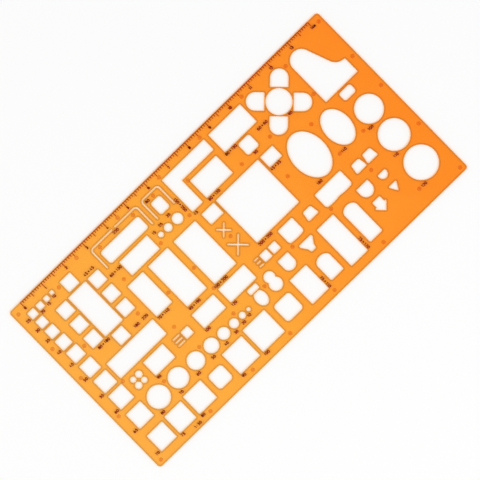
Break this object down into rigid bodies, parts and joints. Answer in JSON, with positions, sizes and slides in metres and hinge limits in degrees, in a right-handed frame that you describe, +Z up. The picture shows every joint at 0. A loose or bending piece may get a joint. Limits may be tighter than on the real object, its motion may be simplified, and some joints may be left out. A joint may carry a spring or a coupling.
{
  "type": "furniture drawing template",
  "caption": "Flat see-through plastic stencil with furniture outlines cut through it and a printed metre ruler along one edge, for plans at 1:50.",
  "frame": {"origin": "under the middle of the sheet, on the plane that the ink risers stand on", "axes": "+X along the ruler from its zero, +Y towards the ruler edge, +Z up out of the printed face"},
  "size_m": [0.3006, 0.1512, 0.0018],
  "materials": {
    "sheet_plastic": "clear tinted, smooth",
    "riser_plastic": "smooth",
    "print_ink": "printed"
  },
  "bodies": {
    "root": {"template_sheet": "sheet_plastic", "ink_risers": "riser_plastic", "scale_base_line": "print_ink", "scale_metre_ticks": "print_ink", "scale_half_metre_ticks": "print_ink", "scale_decimetre_ticks": "print_ink"}
  },
  "joints": []
}
